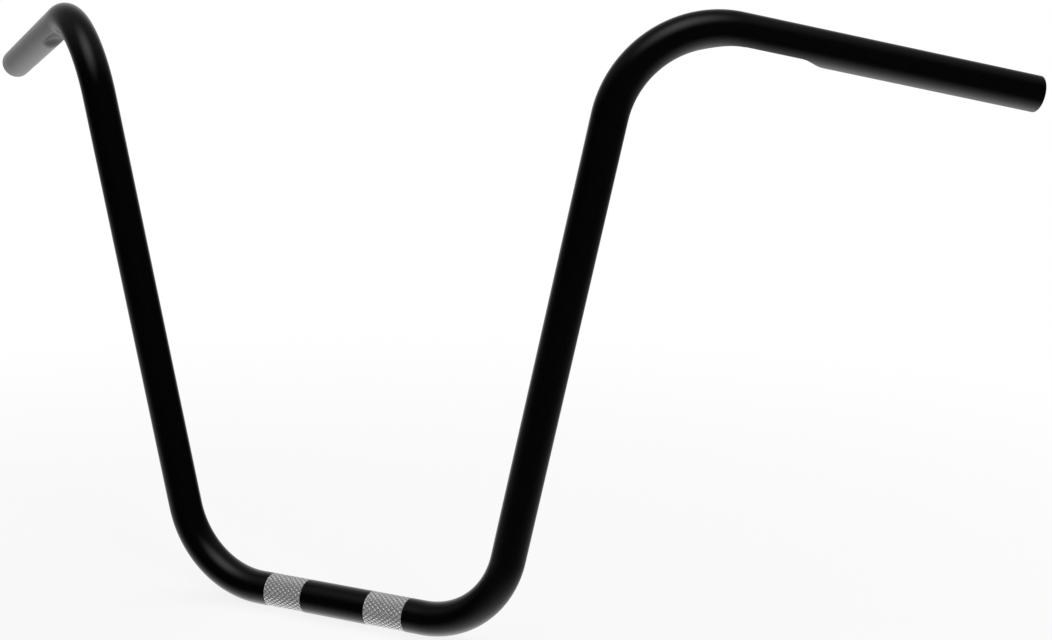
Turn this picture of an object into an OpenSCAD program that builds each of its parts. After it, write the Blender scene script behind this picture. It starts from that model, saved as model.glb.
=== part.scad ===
// Tall one-piece motorcycle handlebar: one steel tube, bent four times, in millimetres.
// The middle of the clamping section is the origin, X is along it, Z is up.
// The risers stand in the XZ plane and the grips sweep back towards +Y.
// The right arm is drawn and mirrored; every station of the tube comes from the sizes below.

/* [Tube] */

// Outside diameter of the tube
tube_od = 25.4; // [22:0.1:28.6]
// Thickness of the tube's wall
wall = 2.4; // [1.6:0.1:3.2]
// Rounding of the tube's cut ends, on the outside edge
end_round = 0.8; // [0.3:0.1:1.2]
// Chamfer of the tube's cut ends, on the bore's edge
bore_chamfer = 0.3; // [0.1:0.1:0.3]

/* [Bends] */

// Straight length of the clamping section between the two lower bends
clamp_length = 145; // [138:1:200]
// Radius of the tube's middle line in all four bends
bend_radius = 72; // [60:1:95]
// Straight length of each riser between its two bends
riser_length = 324; // [120:1:420]
// Lean of the risers outward from upright, degrees
riser_lean = 13; // [4:0.5:22]
// Straight length of each grip from its bend to the tube's end
grip_length = 217; // [170:1:260]
// Sweep of the grips back from the bar's long axis, degrees
grip_sweep = 37.2; // [15:0.1:50]
// Fall of the grips towards their ends, degrees
grip_droop = 11; // [0:0.5:20]

/* [Knurled bands] */

// Distance between the middles of the two bands
knurl_spacing = 88.9; // [80:0.1:95]
// Width of each band along the tube
knurl_width = 32.8; // [26:0.1:36]
// Depth of the grooves below the tube's surface
knurl_depth = 0.5; // [0.2:0.05:0.8]
// Diamonds in one turn round the tube
knurl_starts = 22; // [18:1:26]
// Slant of the grooves from the tube's axis, degrees
knurl_angle = 36.8; // [28:0.1:42]

/* [Wiring dimples] */

// Depth of the pressed dimple at its middle line
dimple_depth = 6.5; // [3:0.1:8]
// Radius of the punch's nose across the tube
punch_radius = 16; // [12:0.5:24]
// Softness of the dimple's lips, the width of the blend into the tube
dimple_lip = 2.4; // [1:0.1:3.5]
// How far the dimple reaches back into the upper bend
dimple_back = 37; // [25:1:50]
// Length over which the dimple gets to its full depth
dimple_run_in = 47; // [30:1:60]
// Length of the whole dimple along the tube's middle line
dimple_length = 102.5; // [95:0.5:120]
// Length over which the dimple runs out towards the grip
dimple_run_out = 22.5; // [14:0.5:30]

/* [Hidden] */
$fn = 96;

tube_r = tube_od / 2;
bore_r = tube_r - wall;

// The bend below each riser turns from the clamping section up to the riser.
lower_turn = 90 - riser_lean;
riser_foot = [
    clamp_length / 2 + bend_radius * sin(lower_turn),
    0,
    bend_radius * (1 - cos(lower_turn))
];

// The grip's direction, in the riser's own frame: across, back and along.
grip_x = cos(grip_droop) * cos(grip_sweep);
grip_y = cos(grip_droop) * sin(grip_sweep);
grip_z = -sin(grip_droop);
across = grip_x * cos(riser_lean) - grip_z * sin(riser_lean);
along = grip_x * sin(riser_lean) + grip_z * cos(riser_lean);
upper_roll = atan2(grip_y, across);
upper_turn = acos(along);

// The dimple lies between these two stations, counted from the start of the straight grip.
dimple_from = -dimple_back;
dimple_to = dimple_length - dimple_back;
formed_margin = 1;
formed_from = dimple_from - formed_margin;
formed_to = dimple_to + formed_margin;
formed_turn = -formed_from / bend_radius * 180 / PI;

// The bends are drawn this much thinner than the straights, which run into them by the lap,
// so that the whole tube joins as one solid.
joint_inset = 0.03;
joint_lap = 1;
// The faceted pieces sink their end rings this far into the round tube.
ring_lap = 0.6;
ring_inset = 2 * joint_inset;

// Rows and columns of the knurl's net: pits and crests alternate both ways.
whole_starts = round(knurl_starts);
knurl_columns = 2 * whole_starts;
knurl_pitch = 2 * PI * tube_r / whole_starts;
knurl_rows = round(2 * knurl_width * tan(knurl_angle) / knurl_pitch);
knurl_step = knurl_width / knurl_rows;

// Columns and rings of the formed piece, outside and in the bore.
outside_net = [48, 24];
bore_net = [32, 16];
// Its columns lie closer together near the dimple, moved by up to this many degrees.
column_shift = 22;
// A radius that is out of the way of everything in the tube.
far_r = 10 * tube_r;
// The bore runs out past the tube's ends by this much, and its chamfers start deeper by it.
overshoot = 1;

black_paint = [0.03, 0.03, 0.035];

// Smooth step from 0 to 1.
function ease(t) =
    let (c = min(max(t, 0), 1))
    c * c * (3 - 2 * c);

// Depth of the punch at a station; well outside the dimple it stands clear of the tube.
function press(s) =
    let (
        rise = ease((s - dimple_from) / dimple_run_in),
        fall = ease((dimple_to - s) / dimple_run_out)
    )
    (dimple_depth + dimple_lip) * rise * fall - dimple_lip;

// Distance of the pressed wall from the tube's middle line, at an angle from the punch.
// The inset is 0 for the outside and the wall's thickness for the bore.
function pressed_r(angle, s, inset) =
    let (
        round_r = tube_r - inset,
        nose = punch_radius + inset,
        reach = tube_r - press(s) + punch_radius,
        side = reach * sin(angle),
        facing = cos(angle) > 0 && abs(side) < nose,
        punch_r = facing ? reach * cos(angle) - sqrt(nose * nose - side * side) : far_r,
        blend = max(dimple_lip - abs(punch_r - round_r), 0) / dimple_lip
    )
    min(punch_r, round_r) - blend * blend * dimple_lip / 4;

// Point of the formed piece in the grip's frame; its first part follows the upper bend.
function formed_point(angle, s, r) =
    let (
        back = s < 0 ? -s / bend_radius * 180 / PI : 0,
        in_plane = bend_radius - (bend_radius - r * cos(angle)) * cos(back),
        drop = -(bend_radius - r * cos(angle)) * sin(back)
    )
    [in_plane, r * sin(angle), max(s, 0) + drop];

// Two triangles for each cell of a closed net, rings one after another.
function net_faces(rings, columns) = [
    for (k = [0 : rings - 2], i = [0 : columns - 1])
        let (
            a = k * columns + i,
            b = k * columns + (i + 1) % columns,
            c = b + columns,
            d = a + columns
        )
        each (k + i) % 2 == 0 ? [[a, c, b], [a, d, c]] : [[a, d, b], [b, d, c]]
];

// The flat faces that close the first and the last ring.
function cap_faces(rings, columns) = [
    [for (i = [0 : columns - 1]) i],
    [for (i = [columns - 1 : -1 : 0]) (rings - 1) * columns + i]
];

// Tube with the pressed dimple. Its first and last rings are sunk into the round tube.
module formed_piece(inset, net) {
    columns = net[0];
    rings = net[1];
    step = (formed_to - formed_from) / rings;
    stations = [
        formed_from - 2 * ring_lap,
        formed_from - ring_lap,
        for (k = [0.5 : rings - 0.5]) formed_from + k * step,
        formed_to + ring_lap,
        formed_to + 2 * ring_lap
    ];
    sunk = [2 * ring_lap, ring_inset, for (k = [1 : rings]) 0, ring_inset, 2 * ring_lap];
    points = [
        for (k = [0 : rings + 3], i = [0 : columns - 1])
            let (
                even = (i + 0.5) * 360 / columns,
                angle = even - column_shift * sin(even)
            )
            formed_point(angle, stations[k], pressed_r(angle, stations[k], inset) - sunk[k])
    ];
    polyhedron(
        points = points,
        faces = concat(net_faces(rings + 4, columns), cap_faces(rings + 4, columns))
    );
}

// Knurled band along Z, from 0 to the band's width. Each crest is a four-sided pyramid.
module knurl_band() {
    rings = knurl_rows + 3;
    stations = [
        -ring_lap,
        for (k = [0 : knurl_rows]) k * knurl_step,
        knurl_width + ring_lap
    ];
    points = [
        for (k = [0 : rings - 1], i = [0 : knurl_columns - 1])
            let (
                buried = k == 0 || k == rings - 1,
                edge = k == 1 || k == rings - 2,
                pit = (k + i) % 2 == 0,
                depth = buried ? 2 * knurl_depth : (pit ? knurl_depth : (edge ? ring_inset : 0)),
                r = tube_r - depth,
                angle = i * 360 / knurl_columns
            )
            [r * cos(angle), r * sin(angle), stations[k]]
    ];
    polyhedron(
        points = points,
        faces = concat(net_faces(rings, knurl_columns), cap_faces(rings, knurl_columns))
    );
}

// Bend of the tube, from the origin along Z towards X, a hair thinner than the straights.
module bend(r, turn) {
    translate([bend_radius, 0, 0])
        rotate([90, 0, 180])
            rotate_extrude(angle = turn)
                translate([bend_radius, 0])
                    circle(r = r - joint_inset);
}

// Straight of the tube along Z, with a lap at both ends.
module straight(r, length, lap) {
    translate([0, 0, -lap])
        cylinder(h = length + 2 * lap, r = r);
}

// Frame at the riser's foot, along the riser.
module riser_frame() {
    translate(riser_foot)
        rotate([0, riser_lean, 0])
            children();
}

// Frame at the riser's top, turned to the plane of the upper bend.
module upper_frame() {
    riser_frame()
        translate([0, 0, riser_length])
            rotate([0, 0, upper_roll])
                children();
}

// Frame at the start of the straight grip, along the grip.
module grip_frame() {
    upper_frame()
        translate([bend_radius * (1 - cos(upper_turn)), 0, bend_radius * sin(upper_turn)])
            rotate([0, upper_turn, 0])
                children();
}

// Straight end of the outside, with its rounded edge.
module grip_outside() {
    length = grip_length - formed_to;
    rotate_extrude() {
        square([tube_r, length - end_round]);
        square([tube_r - end_round, length]);
        translate([tube_r - end_round, length - end_round])
            circle(r = end_round);
    }
}

// Straight end of the bore, with its chamfer, running out past the tube's end.
module grip_bore() {
    length = grip_length - formed_to;
    cylinder(h = length + overshoot, r = bore_r);
    translate([0, 0, length - bore_chamfer - overshoot])
        cylinder(
            h = bore_chamfer + 2 * overshoot,
            r1 = bore_r - overshoot,
            r2 = bore_r + bore_chamfer + overshoot
        );
}

// Right arm of a solid bar of the given radius, up to the grip's plain part.
module arm(r, net) {
    translate([clamp_length / 2, 0, 0])
        rotate([0, 90, 0])
            rotate([0, 0, 180])
                bend(r, lower_turn);
    riser_frame()
        straight(r, riser_length, joint_lap);
    upper_frame()
        bend(r, upper_turn - formed_turn);
    grip_frame()
        formed_piece(tube_r - r, net);
}

// Both sides of anything drawn on the right.
module both_sides() {
    children();
    mirror([1, 0, 0])
        children();
}

// Clamping section: plain tube with the two knurled bands in it. The plain stretches
// cover the bands' edge rows by the inset.
module clamping_section() {
    inner = (knurl_spacing - knurl_width) / 2 + ring_inset;
    outer = (knurl_spacing + knurl_width) / 2 - ring_inset;
    translate([-inner, 0, 0])
        rotate([0, 90, 0])
            straight(tube_r, 2 * inner, 0);
    both_sides() {
        translate([(knurl_spacing - knurl_width) / 2, 0, 0])
            rotate([0, 90, 0])
                knurl_band();
        translate([outer, 0, 0])
            rotate([0, 90, 0])
                straight(tube_r, clamp_length / 2 - outer + joint_lap, 0);
    }
}

// The whole outside, as if the tube were solid.
module outside() {
    clamping_section();
    both_sides() {
        arm(tube_r, outside_net);
        grip_frame()
            translate([0, 0, formed_to])
                grip_outside();
    }
}

// The tube's bore, running out past both ends.
module bore() {
    translate([-clamp_length / 2, 0, 0])
        rotate([0, 90, 0])
            straight(bore_r, clamp_length, joint_lap);
    both_sides() {
        arm(bore_r, bore_net);
        grip_frame()
            translate([0, 0, formed_to])
                grip_bore();
    }
}

module handlebar() {
    color(black_paint)
        difference() {
            outside();
            bore();
        }
}

handlebar();
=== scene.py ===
import math

import bpy
import numpy as np
from mathutils import Matrix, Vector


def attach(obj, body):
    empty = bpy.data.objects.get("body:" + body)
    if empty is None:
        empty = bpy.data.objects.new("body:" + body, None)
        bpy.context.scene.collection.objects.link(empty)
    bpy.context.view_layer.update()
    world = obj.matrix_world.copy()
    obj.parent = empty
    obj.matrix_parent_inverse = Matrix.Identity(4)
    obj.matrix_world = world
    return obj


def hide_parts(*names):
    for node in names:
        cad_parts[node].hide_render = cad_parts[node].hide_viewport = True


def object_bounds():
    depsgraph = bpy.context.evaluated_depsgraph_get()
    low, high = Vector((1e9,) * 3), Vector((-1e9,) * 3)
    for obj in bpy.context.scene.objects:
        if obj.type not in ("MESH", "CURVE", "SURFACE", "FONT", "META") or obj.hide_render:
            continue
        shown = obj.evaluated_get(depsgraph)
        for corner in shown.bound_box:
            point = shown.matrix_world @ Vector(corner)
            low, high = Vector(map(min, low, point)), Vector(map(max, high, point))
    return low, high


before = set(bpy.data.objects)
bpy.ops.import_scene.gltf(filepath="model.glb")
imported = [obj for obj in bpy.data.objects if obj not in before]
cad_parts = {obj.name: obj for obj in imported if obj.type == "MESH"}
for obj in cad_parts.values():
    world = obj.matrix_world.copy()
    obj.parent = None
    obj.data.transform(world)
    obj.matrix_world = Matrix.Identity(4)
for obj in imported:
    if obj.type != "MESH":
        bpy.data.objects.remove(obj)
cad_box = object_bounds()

MM = 0.001

# Sizes of the bar, the same as the solids have, in metres and radians. The tube alone is drawn a little
# thinner, as the solids' bends are, so that it stays inside the box of their coarser mesh.
DRAWN_THINNER = 0.03 * MM
TUBE_R = 12.7 * MM - DRAWN_THINNER
WALL = 2.4 * MM
END_ROUND = 0.8 * MM
BORE_CHAMFER = 0.3 * MM
CLAMP_LENGTH = 145 * MM
BEND_RADIUS = 72 * MM
RISER_LENGTH = 324 * MM
RISER_LEAN = math.radians(13)
GRIP_LENGTH = 217 * MM
GRIP_SWEEP = math.radians(37.2)
GRIP_DROOP = math.radians(11)

KNURL_SPACING = 88.9 * MM
KNURL_WIDTH = 32.8 * MM
KNURL_DEPTH = 0.5 * MM
KNURL_STARTS = 22
KNURL_ANGLE = math.radians(36.8)
# Share of the way from one groove to the next that the two flanks take; the rest is flat crest.
KNURL_FLANK = 0.5

DIMPLE_DEPTH = 6.5 * MM
PUNCH_RADIUS = 16 * MM
DIMPLE_LIP = 2.4 * MM
DIMPLE_BACK = 37 * MM
DIMPLE_RUN_IN = 47 * MM
DIMPLE_LENGTH = 102.5 * MM
DIMPLE_RUN_OUT = 22.5 * MM

# The camera, fitted to the photograph's outline. Its angles are in degrees.
IMAGE_WIDTH = 1052
FOCAL_PIXELS = 1763.592
SENSOR_WIDTH = 36
CAMERA_PLACE = (698.633 * MM, -1069.773 * MM, 443.937 * MM)
CAMERA_AZIMUTH = 26.941
CAMERA_ELEVATION = 10.127
CAMERA_ROLL = 0.539
CLIP_START = 0.05

# The knurl's diamonds are spread evenly over each band, with whole or half ones at both edges.
BAND_START = (KNURL_SPACING - KNURL_WIDTH) / 2
BAND_END = BAND_START + KNURL_WIDTH
KNURL_PITCH = 2 * math.pi * TUBE_R / KNURL_STARTS / math.tan(KNURL_ANGLE)
KNURL_PERIOD = 2 * KNURL_WIDTH / round(2 * KNURL_WIDTH / KNURL_PITCH)

# Columns round the tube, and rings along a band, eight for each diamond of the knurl.
KNURL_STEPS = 8
COLUMNS = KNURL_STEPS * KNURL_STARTS
# Spacing of the rings on the other stretches, outside and in the bore.
MIDDLE_STEP = 14 * MM
CLAMP_STEP = 6 * MM
BEND_STEP = 3 * MM
RISER_STEP = 40 * MM
DIMPLE_STEP = 1.5 * MM
GRIP_STEP = 25 * MM
BORE_CLAMP_STEP = 40 * MM
BORE_BEND_STEP = 8 * MM
BORE_RISER_STEP = 100 * MM
BORE_DIMPLE_STEP = 4.5 * MM
BORE_GRIP_STEP = 50 * MM
# A band's first steel ring lies this far from the last painted one, which keeps its edge sharp.
PAINT_EDGE = 0.02 * MM
END_RINGS = 7
SHARP_ANGLE = math.radians(24)


# The tube's middle line.


def unit(v):
    return v / np.linalg.norm(v)


def arm_directions():
    """Turns of the right arm's two bends, directions of its straights, and the upper bend's inside."""
    lower_turn = math.pi / 2 - RISER_LEAN
    along_riser = np.array([math.sin(RISER_LEAN), 0, math.cos(RISER_LEAN)])
    along_grip = np.array([
        math.cos(GRIP_DROOP) * math.cos(GRIP_SWEEP),
        math.cos(GRIP_DROOP) * math.sin(GRIP_SWEEP),
        -math.sin(GRIP_DROOP),
    ])
    upper_turn = math.acos(along_riser @ along_grip)
    inward = unit(along_grip - (along_grip @ along_riser) * along_riser)
    return lower_turn, along_riser, along_grip, upper_turn, inward


LOWER_TURN, ALONG_RISER, ALONG_GRIP, UPPER_TURN, INWARD = arm_directions()

# Stations along the right half's middle line, from the middle of the clamping section outwards.
LOWER_START = CLAMP_LENGTH / 2
RISER_START = LOWER_START + BEND_RADIUS * LOWER_TURN
UPPER_START = RISER_START + RISER_LENGTH
GRIP_START = UPPER_START + BEND_RADIUS * UPPER_TURN
DIMPLE_START = GRIP_START - DIMPLE_BACK
DIMPLE_END = DIMPLE_START + DIMPLE_LENGTH
TIP = GRIP_START + GRIP_LENGTH


def turned(v, axis, angle):
    """Vector turned about an axis by the right-hand rule."""
    return (
        v * math.cos(angle)
        + np.cross(axis, v) * math.sin(angle)
        + axis * (axis @ v) * (1 - math.cos(angle))
    )


def arc(start, along, inside, angle):
    """Place on a bend of the tube, after turning by an angle from its start."""
    return start + BEND_RADIUS * (math.sin(angle) * along + (1 - math.cos(angle)) * inside)


def station(s):
    """Place, and the two directions across the tube, at a station of the right half."""
    x_axis, y_axis, z_axis = np.eye(3)
    foot_start = np.array([LOWER_START, 0, 0])
    angle = min(max((s - LOWER_START) / BEND_RADIUS, 0), LOWER_TURN)
    first = turned(z_axis, -y_axis, angle)
    second = -y_axis
    if s <= LOWER_START:
        return x_axis * s, first, second
    if s <= RISER_START:
        return arc(foot_start, x_axis, z_axis, angle), first, second
    foot = arc(foot_start, x_axis, z_axis, LOWER_TURN)
    top = foot + ALONG_RISER * RISER_LENGTH
    if s <= UPPER_START:
        return foot + ALONG_RISER * (s - RISER_START), first, second
    upper_axis = unit(np.cross(ALONG_RISER, INWARD))
    angle = min((s - UPPER_START) / BEND_RADIUS, UPPER_TURN)
    first = turned(first, upper_axis, angle)
    second = turned(second, upper_axis, angle)
    place = arc(top, ALONG_RISER, INWARD, angle)
    return place + ALONG_GRIP * max(s - GRIP_START, 0), first, second


# The punch stands on the inside of the upper bend, at this angle round the tube.
_, FIRST_AT_RISER, SECOND_AT_RISER = station(UPPER_START)
PUNCH_ANGLE = math.atan2(INWARD @ SECOND_AT_RISER, INWARD @ FIRST_AT_RISER)


# The tube's section.

# A radius that is out of the way of everything in the tube.
FAR_R = 10 * TUBE_R


def ease(t):
    """Smooth step from 0 to 1."""
    t = np.clip(t, 0, 1)
    return t * t * (3 - 2 * t)


def press(s):
    """Depth of the punch at a station; well outside the dimple it stands clear of the tube."""
    rise = ease((s - DIMPLE_START) / DIMPLE_RUN_IN)
    fall = ease((DIMPLE_END - s) / DIMPLE_RUN_OUT)
    return (DIMPLE_DEPTH + DIMPLE_LIP) * rise * fall - DIMPLE_LIP


def pressed_radius(angles, s, inset):
    """Radius of the outside, or of the bore with the wall as the inset, round one section."""
    round_r = TUBE_R - inset
    nose = PUNCH_RADIUS + inset
    reach = TUBE_R - press(s) + PUNCH_RADIUS
    side = reach * np.sin(angles - PUNCH_ANGLE)
    facing = (np.cos(angles - PUNCH_ANGLE) > 0) & (np.abs(side) < nose)
    chord = np.sqrt(np.maximum(nose**2 - side**2, 0))
    punch_r = np.where(facing, reach * np.cos(angles - PUNCH_ANGLE) - chord, FAR_R)
    blend = np.maximum(DIMPLE_LIP - np.abs(punch_r - round_r), 0) / DIMPLE_LIP
    return np.minimum(punch_r, round_r) - blend**2 * DIMPLE_LIP / 4


def ridge(turns):
    """Height between the grooves of one set, from 0 at a groove to 1 half-way to the next."""
    return 1 - 2 * np.abs(turns % 1 - 0.5)


def knurl_height(angles, s):
    """Height of the knurl above its pits, 0 to 1: blunt pyramids between two sets of slanted grooves."""
    along = (s - BAND_START) / KNURL_PERIOD
    around = angles * KNURL_STARTS / (2 * math.pi)
    pyramids = np.minimum(ridge(around + along), ridge(around - along))
    return np.minimum(pyramids, KNURL_FLANK) / KNURL_FLANK


# The mesh.


def spread(start, end, step):
    """Stations from a start up to, but without, an end, evenly and about a step apart."""
    count = max(round((end - start) / step), 1)
    return list(start + (end - start) * np.arange(count) / count)


def outside_stations():
    """Stations of the outside, from the middle outwards, with the kind of section at each."""
    rows = [(s, "plain") for s in spread(0.0, BAND_START - PAINT_EDGE, MIDDLE_STEP)]
    rows.append((BAND_START - PAINT_EDGE, "plain"))
    rows.append((BAND_START, "rim"))
    rows += [(s, "knurl") for s in spread(BAND_START, BAND_END, KNURL_PERIOD / KNURL_STEPS)[1:]]
    rows.append((BAND_END, "rim"))
    rows += [(s, "plain") for s in spread(BAND_END + PAINT_EDGE, LOWER_START, CLAMP_STEP)]
    rows += [(s, "plain") for s in spread(LOWER_START, RISER_START, BEND_STEP)]
    rows += [(s, "plain") for s in spread(RISER_START, UPPER_START, RISER_STEP)]
    rows += [(s, "plain") for s in spread(UPPER_START, DIMPLE_START, BEND_STEP)]
    rows += [(s, "dimple") for s in spread(DIMPLE_START, DIMPLE_END, DIMPLE_STEP)]
    rows += [(s, "plain") for s in spread(DIMPLE_END, TIP - END_ROUND, GRIP_STEP)]
    return rows


def bore_stations():
    """Stations of the bore, from the middle outwards, further apart than outside."""
    rows = spread(0.0, LOWER_START, BORE_CLAMP_STEP)
    rows += spread(LOWER_START, RISER_START, BORE_BEND_STEP)
    rows += spread(RISER_START, UPPER_START, BORE_RISER_STEP)
    rows += spread(UPPER_START, DIMPLE_START, BORE_BEND_STEP)
    rows += spread(DIMPLE_START, DIMPLE_END, BORE_DIMPLE_STEP)
    return rows + spread(DIMPLE_END, TIP - BORE_CHAMFER, BORE_GRIP_STEP)


def ring(s, radii, angles):
    """Points round the tube's middle line at a station."""
    place, first, second = station(s)
    across = np.cos(angles)[:, None] * first + np.sin(angles)[:, None] * second
    return place + radii[:, None] * across


def half_rings(angles):
    """Rings of the right half, from the outside's middle round the tube's end to the bore's middle.

    Each comes with the depth of the knurl at its points, and whether it belongs to a steel band."""
    none = np.zeros(COLUMNS)
    rings = []
    for s, kind in outside_stations():
        radii = pressed_radius(angles, s, 0) if kind == "dimple" else np.full(COLUMNS, TUBE_R)
        depth = none
        if kind == "knurl":
            depth = 1 - knurl_height(angles, s)
            radii = TUBE_R - KNURL_DEPTH * depth
        rings.append((ring(s, radii, angles), depth, kind in ("rim", "knurl")))
    for turn in np.linspace(0, math.pi / 2, END_RINGS):
        s = TIP - END_ROUND * (1 - math.sin(turn))
        radius = TUBE_R - END_ROUND * (1 - math.cos(turn))
        rings.append((ring(s, np.full(COLUMNS, radius), angles), none, False))
    bore_r = TUBE_R - WALL
    rings.append((ring(TIP, np.full(COLUMNS, bore_r + BORE_CHAMFER), angles), none, False))
    rings.append((ring(TIP - BORE_CHAMFER, np.full(COLUMNS, bore_r), angles), none, False))
    for s in reversed(bore_stations()):
        rings.append((ring(s, pressed_radius(angles, s, WALL), angles), none, False))
    return rings


def bar_mesh():
    """The whole bar as one closed mesh: outside, ends and bore, with the left half mirrored."""
    angles = np.arange(COLUMNS) * 2 * math.pi / COLUMNS
    right = half_rings(angles)
    left = [(points * [-1, 1, 1], depth, steel) for points, depth, steel in right]
    # One loop of rings: out along the right, back through its bore, and round the left. Both halves have
    # the two rings at the bar's middle, so the left ones are passed over.
    loop = right + left[-2:0:-1]
    points = np.concatenate([r[0] for r in loop])
    depths = np.concatenate([r[1] for r in loop])
    count = len(loop)
    k = np.repeat(np.arange(count), COLUMNS)
    i = np.tile(np.arange(COLUMNS), count)
    here = k * COLUMNS
    after = (k + 1) % count * COLUMNS
    beside = (i + 1) % COLUMNS
    faces = np.stack([here + i, here + beside, after + beside, after + i], axis=1)
    steel = np.array([r[2] for r in loop])
    is_steel = steel[k] & steel[(k + 1) % count]
    return points, faces, depths, is_steel


def make_bar():
    """The bar as one object, whose groove attribute tells the steel how deep each point lies."""
    points, faces, depths, is_steel = bar_mesh()
    mesh = bpy.data.meshes.new("bar")
    mesh.from_pydata(points.tolist(), [], faces.tolist())
    mesh.polygons.foreach_set("material_index", is_steel.astype(np.int32))
    groove = mesh.attributes.new("groove", "FLOAT", "POINT")
    groove.data.foreach_set("value", depths)
    mesh.shade_smooth()
    mesh.set_sharp_from_angle(angle=SHARP_ANGLE)
    bar = bpy.data.objects.new("bar", mesh)
    bpy.context.collection.objects.link(bar)
    return bar


# The materials.

# Each noise is given by its scale and detail.
PAINT_COLOUR = (0.0015, 0.0015, 0.0016, 1)
PAINT_ROUGHNESS = (0.16, 0.24)
PAINT_CLOUD = (60, 4)
PAINT_IOR = 1.5
PEEL = (700, 2)
PEEL_DEPTH = 0.05 * MM
PEEL_STRENGTH = 0.12

# Colour and roughness of the steel, on the knurl's crests and at the bottom of its grooves; the grooves'
# darker colour is painted shade.
CREST_COLOUR = (0.87, 0.87, 0.88, 1)
GROOVE_PAINTED_SHADE_COLOUR = (0.44, 0.44, 0.45, 1)
CREST_ROUGHNESS = 0.25
GROOVE_ROUGHNESS = 0.5
# The roughness varies by this factor from place to place.
STEEL_VARIATION = (0.8, 1.2)
STEEL_CLOUD = (400, 3)
# Share of the steel's light that it mirrors; a dull oxide film scatters the rest.
STEEL_METALLIC = 0.7


def new_material(name):
    """Material with its nodes, their links and its shader."""
    material = bpy.data.materials.new(name)
    material.use_nodes = True
    nodes = material.node_tree.nodes
    return material, nodes, material.node_tree.links, nodes["Principled BSDF"]


def noise(nodes, links, scale, detail):
    """Noise in the object's own coordinates."""
    coordinates = nodes.new("ShaderNodeTexCoord")
    texture = nodes.new("ShaderNodeTexNoise")
    texture.inputs["Scale"].default_value = scale
    texture.inputs["Detail"].default_value = detail
    links.new(coordinates.outputs["Object"], texture.inputs["Vector"])
    return texture.outputs["Fac"]


def mapped(nodes, links, value, low, high):
    """A value from 0 to 1 spread between two limits."""
    node = nodes.new("ShaderNodeMapRange")
    node.inputs["To Min"].default_value = low
    node.inputs["To Max"].default_value = high
    links.new(value, node.inputs["Value"])
    return node.outputs["Result"]


def math_node(nodes, links, operation, first, second=None):
    """Result of an operation on numbers or on the outputs of other nodes."""
    node = nodes.new("ShaderNodeMath")
    node.operation = operation
    for socket, value in zip(node.inputs, (first, second)):
        if isinstance(value, (int, float)):
            socket.default_value = value
        elif value is not None:
            links.new(value, socket)
    return node.outputs["Value"]


def black_paint():
    """Gloss black powder coat, with the faint waviness of its surface."""
    material, nodes, links, shader = new_material("black_paint")
    shader.inputs["Base Color"].default_value = PAINT_COLOUR
    shader.inputs["IOR"].default_value = PAINT_IOR
    cloud = noise(nodes, links, *PAINT_CLOUD)
    links.new(mapped(nodes, links, cloud, *PAINT_ROUGHNESS), shader.inputs["Roughness"])
    peel = noise(nodes, links, *PEEL)
    bump = nodes.new("ShaderNodeBump")
    bump.inputs["Strength"].default_value = PEEL_STRENGTH
    bump.inputs["Distance"].default_value = PEEL_DEPTH
    links.new(peel, bump.inputs["Height"])
    links.new(bump.outputs["Normal"], shader.inputs["Normal"])
    return material


def knurled_steel():
    """Bare satin steel of the knurled bands: burnished crests, with rougher grooves whose darker colour
    is painted shade.
    """
    material, nodes, links, shader = new_material("knurled_steel")
    shader.inputs["Metallic"].default_value = STEEL_METALLIC
    groove = nodes.new("ShaderNodeAttribute")
    groove.attribute_name = "groove"
    # The grooves are coloured darker than the crests: painted shade in the knurl's recesses.
    groove_shade_ramp = nodes.new("ShaderNodeValToRGB")
    groove_shade_ramp.color_ramp.elements[0].color = CREST_COLOUR
    groove_shade_ramp.color_ramp.elements[1].color = GROOVE_PAINTED_SHADE_COLOUR
    links.new(groove.outputs["Fac"], groove_shade_ramp.inputs["Fac"])
    links.new(groove_shade_ramp.outputs["Color"], shader.inputs["Base Color"])
    worn = mapped(nodes, links, groove.outputs["Fac"], CREST_ROUGHNESS, GROOVE_ROUGHNESS)
    cloud = noise(nodes, links, *STEEL_CLOUD)
    variation = mapped(nodes, links, cloud, *STEEL_VARIATION)
    links.new(math_node(nodes, links, "MULTIPLY", worn, variation), shader.inputs["Roughness"])
    return material


# The studio.

# Soft round patches of light: azimuth from -Y towards +X and elevation in degrees, the angular
# radius where the light is half, how softly it ends, and its strength.
SOFTBOX = (13.9, 64.2, 18.4, 21.5, 1.27)
SWEEP = (-130.3, -65.6, 24.5, 59.0, 2.3)
CEILING = (-133.7, 55.9, 61.5, 22.9, 0.14)
# Light from the rest of the studio.
STUDIO_DIM = 0.001
# The white backdrop behind the bar, as reflections show it.
BACKDROP = (-146.0, 7.5, 3.0, 55.0, 1.6)

# Half the floor's side, in metres, and its colour.
FLOOR_HALF = 8.0
FLOOR_COLOUR = (0.92, 0.92, 0.92, 1)
FLOOR_ROUGHNESS = 0.9
# Up to the near radius the floor glows to the camera by this share, and from the far one on wholly.
FLOOR_GLOW = 0.85
FLOOR_NEAR = 0.3
FLOOR_FAR = 1.3

# The lamps: place, the point that they aim at, the side of their square in metres, and watts.
KEY = ((2.6, -1.6, 0.8), (0, 0, 0.1), 1.0, 58)
FILL = ((-0.3, 0.8, 2.4), (0, 0, 0.1), 2.0, 28)


def direction(azimuth, elevation):
    """Unit vector of an azimuth from -Y towards +X and an elevation, in degrees."""
    a = math.radians(azimuth)
    e = math.radians(elevation)
    return (math.sin(a) * math.cos(e), -math.cos(a) * math.cos(e), math.sin(e))


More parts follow.
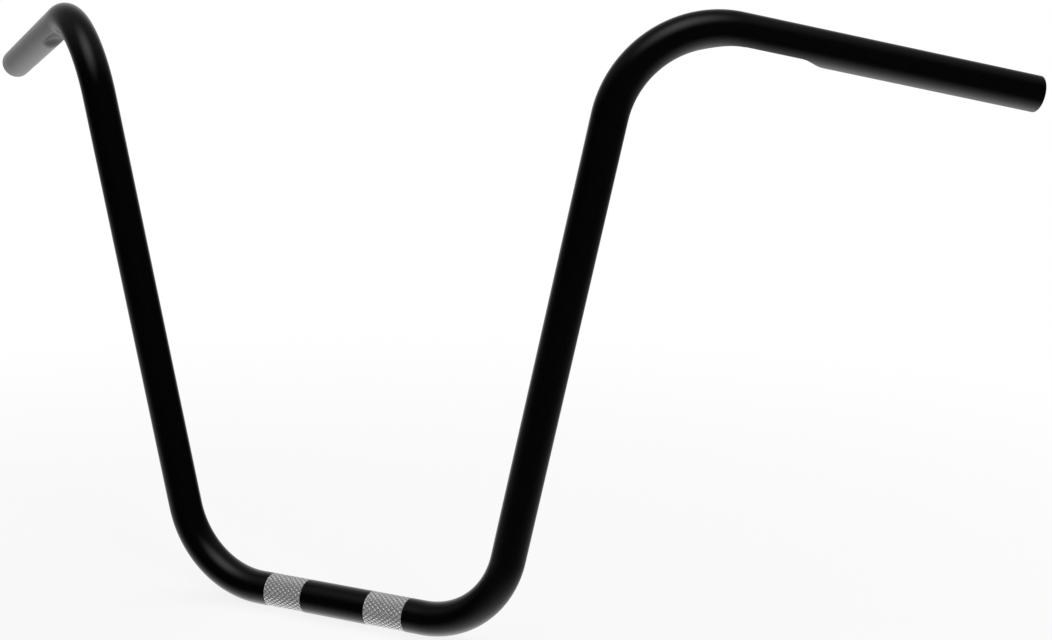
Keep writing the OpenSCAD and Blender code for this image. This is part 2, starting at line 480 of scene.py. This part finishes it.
def light_patch(nodes, links, ray, azimuth, elevation, radius, softness, strength):
    """Brightness of one soft patch in the ray's direction."""
    dot = nodes.new("ShaderNodeVectorMath")
    dot.operation = "DOT_PRODUCT"
    links.new(ray, dot.inputs[0])
    dot.inputs[1].default_value = direction(azimuth, elevation)
    angle = math_node(nodes, links, "ARCCOSINE", dot.outputs["Value"])
    step = nodes.new("ShaderNodeMapRange")
    step.interpolation_type = "SMOOTHSTEP"
    step.inputs["From Min"].default_value = math.radians(radius + softness)
    step.inputs["From Max"].default_value = math.radians(radius - softness)
    step.inputs["To Max"].default_value = strength
    links.new(angle, step.inputs["Value"])
    return step.outputs["Result"]


def ray_kind(nodes, links, *kinds):
    """1 for the named kinds of ray, and 0 for the others."""
    path = nodes.new("ShaderNodeLightPath")
    total = path.outputs[kinds[0]]
    for kind in kinds[1:]:
        total = math_node(nodes, links, "MAXIMUM", total, path.outputs[kind])
    return total


def make_world():
    """White to the camera; reflections see a studio with a softbox, a white sweep and the backdrop."""
    world = bpy.data.worlds.new("studio")
    bpy.context.scene.world = world
    world.use_nodes = True
    nodes = world.node_tree.nodes
    links = world.node_tree.links
    background = nodes["Background"]
    ray = nodes.new("ShaderNodeTexCoord").outputs["Generated"]
    total = STUDIO_DIM
    for patch in (SOFTBOX, SWEEP, CEILING):
        total = math_node(nodes, links, "ADD", light_patch(nodes, links, ray, *patch), total)
    to_camera = ray_kind(nodes, links, "Is Camera Ray")
    to_gloss = ray_kind(nodes, links, "Is Glossy Ray", "Is Transmission Ray")
    backdrop = light_patch(nodes, links, ray, *BACKDROP)
    in_gloss = math_node(nodes, links, "MULTIPLY", to_gloss, backdrop)
    shown = nodes.new("ShaderNodeMix")
    links.new(math_node(nodes, links, "MAXIMUM", to_camera, in_gloss), shown.inputs[0])
    links.new(total, shown.inputs[2])
    shown.inputs[3].default_value = 1
    background.inputs["Color"].default_value = (1, 1, 1, 1)
    links.new(shown.outputs[0], background.inputs["Strength"])


def floor_material():
    """Matt white, which glows to the camera so that it meets the white background without an edge."""
    material, nodes, links, shader = new_material("white_floor")
    shader.inputs["Base Color"].default_value = FLOOR_COLOUR
    shader.inputs["Roughness"].default_value = FLOOR_ROUGHNESS
    shader.inputs["Specular IOR Level"].default_value = 0
    coordinates = nodes.new("ShaderNodeTexCoord")
    length = nodes.new("ShaderNodeVectorMath")
    length.operation = "LENGTH"
    links.new(coordinates.outputs["Object"], length.inputs[0])
    share = nodes.new("ShaderNodeMapRange")
    share.interpolation_type = "SMOOTHSTEP"
    share.inputs["From Min"].default_value = FLOOR_NEAR
    share.inputs["From Max"].default_value = FLOOR_FAR
    share.inputs["To Min"].default_value = FLOOR_GLOW
    links.new(length.outputs["Value"], share.inputs["Value"])
    seen = ray_kind(nodes, links, "Is Camera Ray", "Is Glossy Ray", "Is Transmission Ray")
    glow = nodes.new("ShaderNodeEmission")
    mix = nodes.new("ShaderNodeMixShader")
    links.new(math_node(nodes, links, "MULTIPLY", share.outputs["Result"], seen), mix.inputs["Fac"])
    links.new(shader.outputs["BSDF"], mix.inputs[1])
    links.new(glow.outputs["Emission"], mix.inputs[2])
    links.new(mix.outputs["Shader"], nodes["Material Output"].inputs["Surface"])
    return material


def make_floor():
    """White floor at the bar's lowest point, which keeps the bar's shadow."""
    bottom = cad_box[0][2]
    mesh = bpy.data.meshes.new("floor")
    signs = ((-1, -1), (1, -1), (1, 1), (-1, 1))
    corners = [(x * FLOOR_HALF, y * FLOOR_HALF, bottom) for x, y in signs]
    mesh.from_pydata(corners, [], [(0, 1, 2, 3)])
    floor = bpy.data.objects.new("floor", mesh)
    bpy.context.collection.objects.link(floor)
    mesh.materials.append(floor_material())
    # Reflections see the studio's sweep in its place, the same white without a near edge.
    floor.visible_glossy = False


def stand(thing, place, right, up, back):
    """Puts a lamp or the camera at a place, with its own axes along the three given directions."""
    matrix = np.eye(4)
    matrix[:3, :3] = np.stack([right, up, back], axis=1)
    matrix[:3, 3] = place
    bpy.context.collection.objects.link(thing)
    thing.matrix_world = Matrix(matrix.tolist())


def make_lamp(name, place, aim, size, power):
    """Soft square lamp that reflections don't show: they show the studio's own lights instead."""
    light = bpy.data.lights.new(name, "AREA")
    light.size = size
    light.energy = power
    lamp = bpy.data.objects.new(name, light)
    back = unit(np.array(place) - np.array(aim))
    right = unit(np.cross((0, 0, 1), back))
    stand(lamp, place, right, np.cross(back, right), back)
    lamp.visible_glossy = False


def make_camera():
    """The camera that took the photograph, with its place, direction, roll and lens."""
    back = np.array(direction(CAMERA_AZIMUTH, CAMERA_ELEVATION))
    a = math.radians(CAMERA_AZIMUTH)
    right = np.array([math.cos(a), math.sin(a), 0])
    up = np.cross(back, right)
    r = math.radians(CAMERA_ROLL)
    rolled_right = math.cos(r) * right + math.sin(r) * up
    rolled_up = -math.sin(r) * right + math.cos(r) * up
    data = bpy.data.cameras.new("camera")
    data.sensor_width = SENSOR_WIDTH
    data.lens = FOCAL_PIXELS / IMAGE_WIDTH * SENSOR_WIDTH
    data.clip_start = CLIP_START
    camera = bpy.data.objects.new("camera", data)
    stand(camera, CAMERA_PLACE, rolled_right, rolled_up, back)
    bpy.context.scene.camera = camera


bpy.context.scene.view_settings.view_transform = "Standard"
make_camera()
bar = make_bar()
bar.data.materials.append(black_paint())
bar.data.materials.append(knurled_steel())
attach(bar, "root")
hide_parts("handlebar")
make_world()
make_floor()
make_lamp("key", *KEY)
make_lamp("fill", *FILL)
